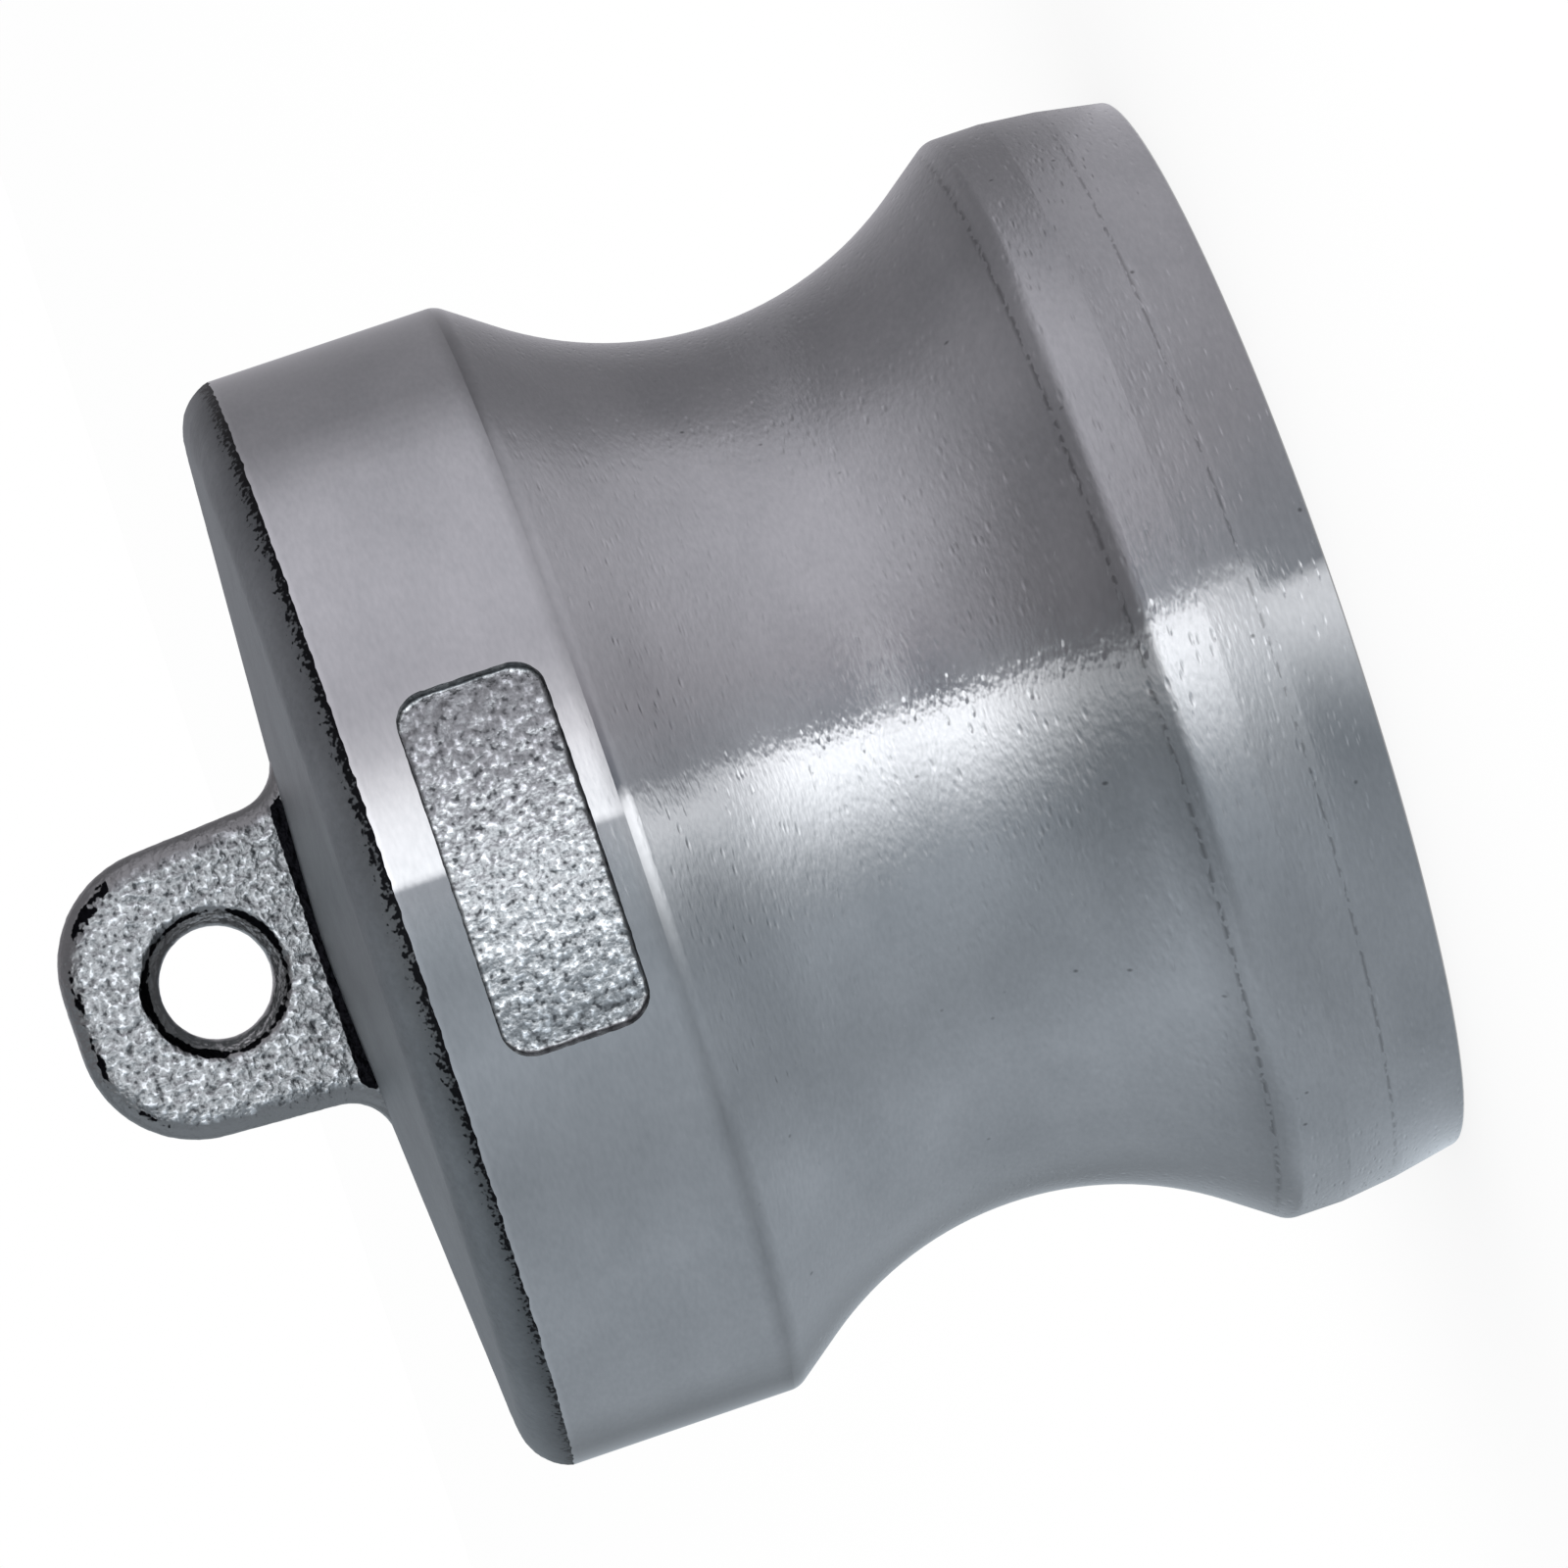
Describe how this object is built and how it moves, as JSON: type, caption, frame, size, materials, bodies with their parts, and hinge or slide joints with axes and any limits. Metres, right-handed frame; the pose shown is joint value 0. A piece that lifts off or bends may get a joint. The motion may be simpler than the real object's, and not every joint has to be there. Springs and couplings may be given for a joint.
{
  "type": "cam and groove dust plug",
  "caption": "Round hollow metal plug with a wide cam groove, a closed end and a drilled lug for a chain.",
  "frame": {"origin": "centre of the flat sealing face at the open head end", "axes": "+Z along the turned axis from the open head to the lug; the lug's flat sides face -Y and +Y, and the sunk pad is on the -Y side"},
  "size_m": [0.032, 0.032, 0.0357],
  "materials": {
    "stainless": "satin turned stainless steel, with rough as-cast lug, crown and pad"
  },
  "bodies": {
    "root": {"plug_body": "stainless"}
  },
  "joints": []
}
